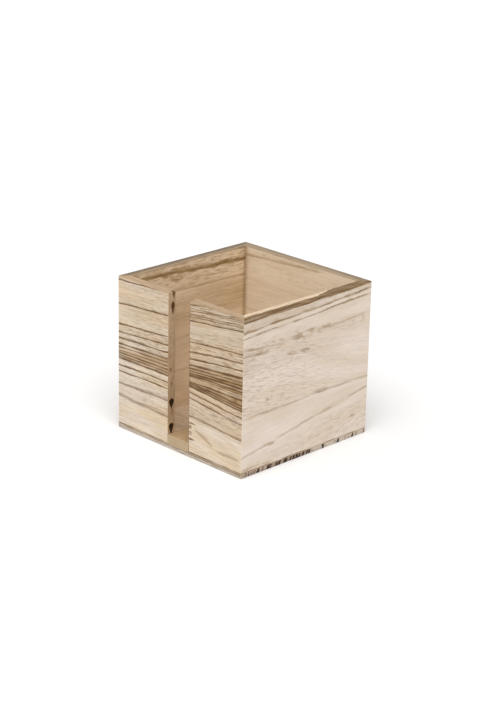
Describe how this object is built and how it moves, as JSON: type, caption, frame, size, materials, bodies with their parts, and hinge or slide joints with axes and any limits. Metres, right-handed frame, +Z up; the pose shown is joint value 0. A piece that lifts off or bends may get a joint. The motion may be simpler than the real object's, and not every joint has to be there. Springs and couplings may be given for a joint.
{
  "type": "napkin holder",
  "caption": "Open-topped square wooden napkin box with mitred walls, a thin base and a full-height finger slot in the front wall.",
  "frame": {"origin": "centre of the underside of the base", "axes": "+Z up, out of the open top; the slotted front wall faces -Y; +X to the right when facing the slot"},
  "size_m": [0.145, 0.145, 0.132],
  "materials": {
    "base_wood": "bare, planed, end grain dark",
    "front_wood": "bare, sanded, strong brown grain",
    "batten_wood": "bare, sanded, end grain darker",
    "right_wood": "bare, sanded, faint grain",
    "back_wood": "bare, sanded",
    "left_wood": "bare, sanded, brown streak inside"
  },
  "bodies": {
    "root": {"base_panel": "base_wood", "front_left_board": "front_wood", "front_right_board": "front_wood", "cross_batten": "batten_wood", "right_wall": "right_wood", "back_wall": "back_wood", "left_wall": "left_wood"}
  },
  "joints": []
}
